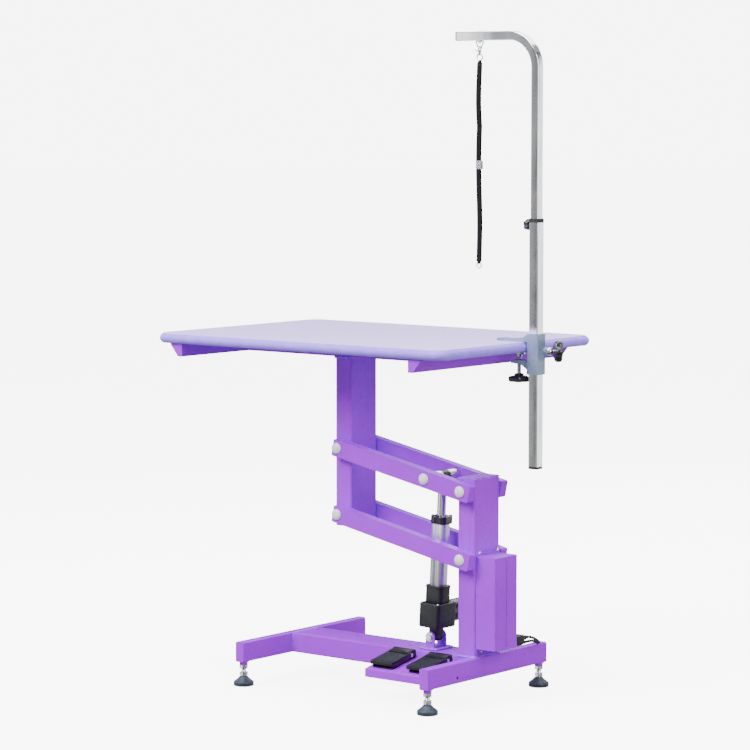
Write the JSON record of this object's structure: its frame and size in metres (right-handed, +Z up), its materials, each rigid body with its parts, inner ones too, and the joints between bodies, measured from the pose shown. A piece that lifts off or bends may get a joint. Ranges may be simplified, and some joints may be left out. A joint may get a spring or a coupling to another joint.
{
  "type": "grooming table",
  "caption": "Electric pet grooming table: padded-edge top on a parallelogram lift with a linear actuator, H base, foot pedals and a clamp-on arm with a noose.",
  "frame": {"origin": "on the floor, below the middle of the object's bounding box", "axes": "+X along the tabletop towards the mast and the grooming arm, +Y away from the pedals, +Z up"},
  "size_m": [0.9697, 0.615, 1.5935],
  "materials": {
    "purple_steel": "satin powder coat",
    "lavender_top": "fine non-slip grain",
    "lavender_trim": "smooth moulded edge",
    "cast_clamp": "cast, painted light blue-grey",
    "chrome": "polished",
    "steel": "turned",
    "alu": "anodised extrusion",
    "white_cap": "moulded cap",
    "ivory_bush": "nylon",
    "black_plastic": "moulded",
    "foot_rubber": "moulded rubber",
    "cord": "PVC sheath",
    "circuit": "circuit board",
    "webbing": "woven webbing"
  },
  "bodies": {
    "base": {"base_left_tube": "purple_steel", "base_right_tube": "purple_steel", "base_beam": "purple_steel", "base_end_plates": "purple_steel", "foot_bosses": "purple_steel", "mast": "purple_steel", "mast_shafts": "steel", "mast_pivot_caps": "white_cap", "actuator_bracket": "purple_steel", "actuator_bolt": "chrome", "pedal_tray": "purple_steel", "pedal_bases": "black_plastic", "pedal_pins": "chrome", "control_box_cover": "purple_steel", "control_box_screws": "chrome", "control_board": "circuit", "power_inlet": "black_plastic", "power_connector": "black_plastic", "power_cord": "cord", "cord_coil": "cord", "power_plug": "black_plastic"},
    "up_pedal": {"up_pedal": "black_plastic"},
    "down_pedal": {"down_pedal": "black_plastic"},
    "foot_front_left": {"foot_front_left": "foot_rubber"},
    "foot_front_right": {"foot_front_right": "foot_rubber"},
    "foot_back_left": {"foot_back_left": "foot_rubber"},
    "foot_back_right": {"foot_back_right": "foot_rubber"},
    "upper_links": {"upper_link_front": "purple_steel", "upper_link_rear": "purple_steel", "upper_link_bushes": "ivory_bush", "actuator_pin": "steel", "actuator_pin_caps": "white_cap"},
    "lower_links": {"lower_link_front": "purple_steel", "lower_link_rear": "purple_steel", "lower_link_bushes": "ivory_bush"},
    "carriage": {"column": "purple_steel", "column_shafts": "steel", "column_pivot_caps": "white_cap", "top_beam": "purple_steel", "crossbars": "purple_steel", "table_board": "lavender_top", "table_edge": "lavender_trim", "clamp_body": "cast_clamp"},
    "actuator": {"actuator_housing": "black_plastic", "actuator_motor": "black_plastic", "actuator_tube": "alu", "actuator_gland": "black_plastic", "lead_screw": "steel"},
    "push_rod": {"actuator_rod": "steel"},
    "clamp_pad": {"clamp_pad": "chrome"},
    "clamp_screw": {"clamp_screw": "chrome"},
    "post": {"arm_post": "chrome"},
    "arm": {"arm_tube": "chrome"},
    "arm_lock": {"arm_lock_knob": "black_plastic"},
    "post_lock": {"post_lock_knob": "black_plastic"},
    "noose_ring": {"noose_ring": "chrome"},
    "snap_hook": {"snap_hook": "chrome"},
    "noose": {"swivel_ring": "chrome", "noose_strap": "webbing"},
    "slider": {"strap_slider": "black_plastic"}
  },
  "joints": [
    {"name": "lift", "type": "hinge", "parent": "base", "child": "upper_links", "pos_m": [0.28364, 0, 0.509], "axis": [0, 1, 0], "range_deg": [-38.5, 23.5]},
    {"name": "lower_link_turn", "type": "hinge", "parent": "base", "child": "lower_links", "pos_m": [0.28364, 0, 0.346], "axis": [0, 1, 0], "range_deg": [-38.6, 23.6]},
    {"name": "column_turn", "type": "hinge", "parent": "upper_links", "child": "carriage", "pos_m": [-0.09363, 0, 0.58576], "axis": [0, 1, 0], "range_deg": [-23.6, 38.6]},
    {"name": "actuator_tilt", "type": "hinge", "parent": "base", "child": "actuator", "pos_m": [0.15564, 0, 0.14], "axis": [0, 1, 0], "range_deg": [-0.4, 0.3]},
    {"name": "rod_travel", "type": "slide", "parent": "actuator", "child": "push_rod", "axis": [0.0516, 0, 0.9987], "range_m": [-0.0715, 0.0435]},
    {"name": "up_pedal_press", "type": "hinge", "parent": "base", "child": "up_pedal", "pos_m": [0.28364, -0.08663, 0.10412], "axis": [1, 0, 0], "range_deg": [0, 5], "stiffness_Nm_per_rad": 6, "springref_deg": -3.44},
    {"name": "down_pedal_press", "type": "hinge", "parent": "base", "child": "down_pedal", "pos_m": [0.28364, -0.08663, 0.10412], "axis": [1, 0, 0], "range_deg": [0, 5], "stiffness_Nm_per_rad": 6, "springref_deg": -3.44},
    {"name": "foot_front_left_level", "type": "slide", "parent": "base", "child": "foot_front_left", "axis": [0, 0, 1], "range_m": [-0.015, 0]},
    {"name": "foot_front_right_level", "type": "slide", "parent": "base", "child": "foot_front_right", "axis": [0, 0, 1], "range_m": [-0.015, 0]},
    {"name": "foot_back_left_level", "type": "slide", "parent": "base", "child": "foot_back_left", "axis": [0, 0, 1], "range_m": [-0.015, 0]},
    {"name": "foot_back_right_level", "type": "slide", "parent": "base", "child": "foot_back_right", "axis": [0, 0, 1], "range_m": [-0.015, 0]},
    {"name": "clamp_turn", "type": "hinge", "parent": "clamp_pad", "child": "clamp_screw", "pos_m": [0.37264, 0.037, 0.8], "axis": [0, 0, 1], "range_deg": [-720, 0]},
    {"name": "clamp_travel", "type": "slide", "parent": "carriage", "child": "clamp_pad", "axis": [0, 0, 1], "range_m": [-0.0037, 0]},
    {"name": "post_slide", "type": "slide", "parent": "carriage", "child": "post", "axis": [0, 0, 1], "range_m": [-0.06, 0.19]},
    {"name": "arm_slide", "type": "slide", "parent": "post", "child": "arm", "axis": [0, 0, 1], "range_m": [-0.09, 0.15]},
    {"name": "arm_lock_turn", "type": "hinge", "parent": "post", "child": "arm_lock", "pos_m": [0.42264, 0.037, 1.14], "axis": [-1, 0, 0], "range_deg": [-360, 0]},
    {"name": "post_lock_turn", "type": "hinge", "parent": "carriage", "child": "post_lock", "pos_m": [0.42264, 0.037, 0.842], "axis": [0.7071, 0.7071, 0], "range_deg": [-720, 0]},
    {"name": "noose_swing", "type": "hinge", "parent": "arm", "child": "noose_ring", "pos_m": [0.25464, 0.037, 1.5703], "axis": [1, 0, 0], "range_deg": [-60, 60]},
    {"name": "hook_rock", "type": "hinge", "parent": "noose_ring", "child": "snap_hook", "pos_m": [0.25464, 0.037, 1.5551], "axis": [0, 1, 0], "range_deg": [-12, 12]},
    {"name": "noose_turn", "type": "hinge", "parent": "snap_hook", "child": "noose", "pos_m": [0.25464, 0.037, 1.5415], "axis": [0, 0, 1], "continuous": true},
    {"name": "slider_travel", "type": "slide", "parent": "noose", "child": "slider", "axis": [0, 0, 1], "range_m": [-0.2, 0.12]}
  ],
  "couplings": [
    {"joint": "lower_link_turn", "follows": "lift", "ratio": 1},
    {"joint": "column_turn", "follows": "lift", "ratio": -1},
    {"joint": "actuator_tilt", "follows": "lift", "ratio": 0.01},
    {"joint": "rod_travel", "follows": "lift", "m_per_rad": 0.105},
    {"joint": "clamp_travel", "follows": "clamp_turn", "m_per_rad": 0.00027852}
  ]
}
